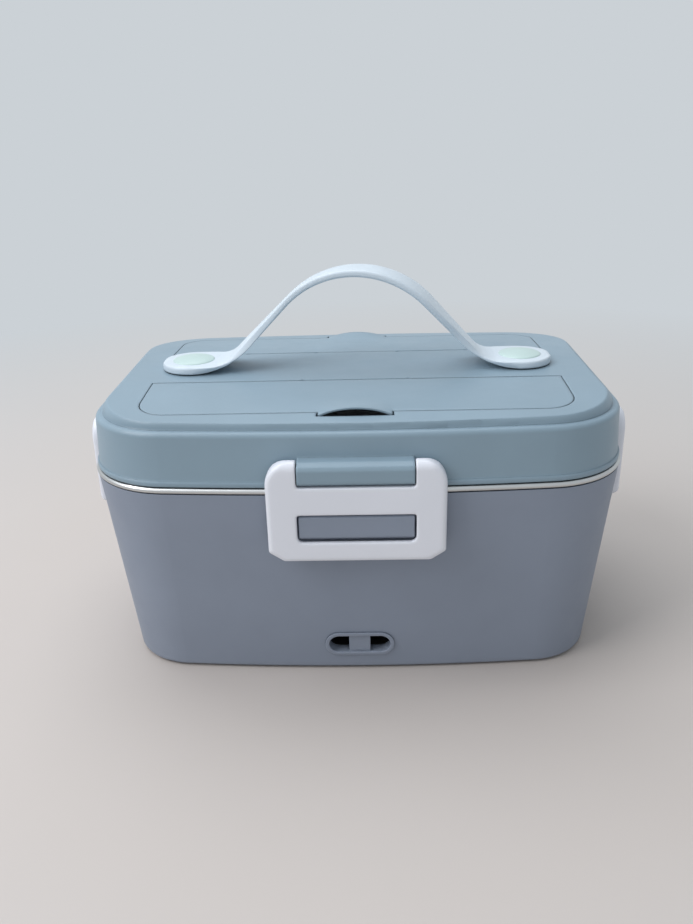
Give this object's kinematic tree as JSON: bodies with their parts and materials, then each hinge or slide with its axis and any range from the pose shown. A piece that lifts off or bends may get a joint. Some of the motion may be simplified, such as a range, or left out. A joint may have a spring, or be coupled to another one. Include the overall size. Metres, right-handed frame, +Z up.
{
  "type": "electric lunch box",
  "caption": "Electric lunch box with a lift-off grey-blue lid, hinged compartment doors, white snap latches, an arched carry strap, a steel food pot and a heated base",
  "frame": {"origin": "on the table under the middle of the box", "axes": "+X to the right along the long side, -Y towards the front with the power inlet, +Z up"},
  "size_m": [0.252, 0.173, 0.1752],
  "materials": {
    "lid_plastic": "satin injection-moulded polypropylene, grey-blue",
    "casing_plastic": "fine-textured polypropylene, darker grey-blue",
    "latch_plastic": "smooth white moulded plastic",
    "cap_plastic": "smooth white moulded plastic, faintly green",
    "strap_rubber": "soft white thermoplastic rubber",
    "gasket_silicone": "soft white silicone",
    "foot_rubber": "dull dark rubber",
    "liner_plastic": "pale grey moulded plastic",
    "dark_plastic": "black heat-resistant plastic",
    "lead_insulation": "red silicone wire insulation",
    "pot_steel": "thin pressed stainless steel, satin",
    "plate_aluminium": "plain cast aluminium",
    "pin_steel": "drawn steel rod and sheet",
    "screw_steel": "zinc-plated steel",
    "pin_brass": "plated brass contact pins"
  },
  "bodies": {
    "casing": {"outer_shell": "casing_plastic", "base_cover": "casing_plastic", "base_screws": "screw_steel", "rubber_feet": "foot_rubber", "inner_liner": "liner_plastic", "heating_plate": "plate_aluminium", "ptc_heater": "plate_aluminium", "heater_clamp": "pin_steel", "clamp_screws": "screw_steel", "thermal_cutoff": "dark_plastic", "inlet_socket": "dark_plastic", "inlet_bezel": "casing_plastic", "inlet_pins": "pin_brass", "heater_leads": "lead_insulation"},
    "pot": {"food_pot": "pot_steel"},
    "lid": {"lid_shell": "lid_plastic", "lid_liner": "liner_plastic", "lid_gasket": "gasket_silicone", "front_flap_pin": "pin_steel", "rear_flap_pin": "pin_steel", "front_latch_pin": "pin_steel", "rear_latch_pin": "pin_steel", "left_latch_pin": "pin_steel", "right_latch_pin": "pin_steel", "carry_strap": "strap_rubber", "strap_caps": "cap_plastic", "strap_screws": "screw_steel"},
    "front_latch_arm": {"front_latch": "latch_plastic"},
    "rear_latch_arm": {"rear_latch": "latch_plastic"},
    "left_latch_arm": {"left_latch": "latch_plastic"},
    "right_latch_arm": {"right_latch": "latch_plastic"},
    "front_door": {"front_flap": "lid_plastic"},
    "rear_door": {"rear_flap": "lid_plastic"}
  },
  "joints": [
    {"name": "lid_lift", "type": "slide", "parent": "casing", "child": "lid", "axis": [0, 0, 1], "range_m": [0, 0.05]},
    {"name": "pot_lift", "type": "slide", "parent": "casing", "child": "pot", "axis": [0, 0, 1], "range_m": [0, 0.025]},
    {"name": "front_latch_hinge", "type": "hinge", "parent": "lid", "child": "front_latch_arm", "pos_m": [0, -0.0827, 0.1078], "axis": [-1, 0, 0], "range_deg": [0, 105]},
    {"name": "rear_latch_hinge", "type": "hinge", "parent": "lid", "child": "rear_latch_arm", "pos_m": [0, 0.0827, 0.1078], "axis": [1, 0, 0], "range_deg": [0, 105]},
    {"name": "left_latch_hinge", "type": "hinge", "parent": "lid", "child": "left_latch_arm", "pos_m": [-0.1222, 0, 0.1078], "axis": [0, 1, 0], "range_deg": [0, 105]},
    {"name": "right_latch_hinge", "type": "hinge", "parent": "lid", "child": "right_latch_arm", "pos_m": [0.1222, 0, 0.1078], "axis": [0, -1, 0], "range_deg": [0, 105]},
    {"name": "front_door_hinge", "type": "hinge", "parent": "lid", "child": "front_door", "pos_m": [0, -0.0258, 0.12585], "axis": [-1, 0, 0], "range_deg": [0, 90]},
    {"name": "rear_door_hinge", "type": "hinge", "parent": "lid", "child": "rear_door", "pos_m": [0, 0.0258, 0.12585], "axis": [1, 0, 0], "range_deg": [0, 90]}
  ],
  "couplings": [
    {"joint": "pot_lift", "follows": "lid_lift", "ratio": 0.5},
    {"joint": "front_latch_hinge", "follows": "lid_lift", "rad_per_m": 36.6},
    {"joint": "rear_latch_hinge", "follows": "lid_lift", "rad_per_m": 36.6},
    {"joint": "left_latch_hinge", "follows": "lid_lift", "rad_per_m": 36.6},
    {"joint": "right_latch_hinge", "follows": "lid_lift", "rad_per_m": 36.6}
  ]
}
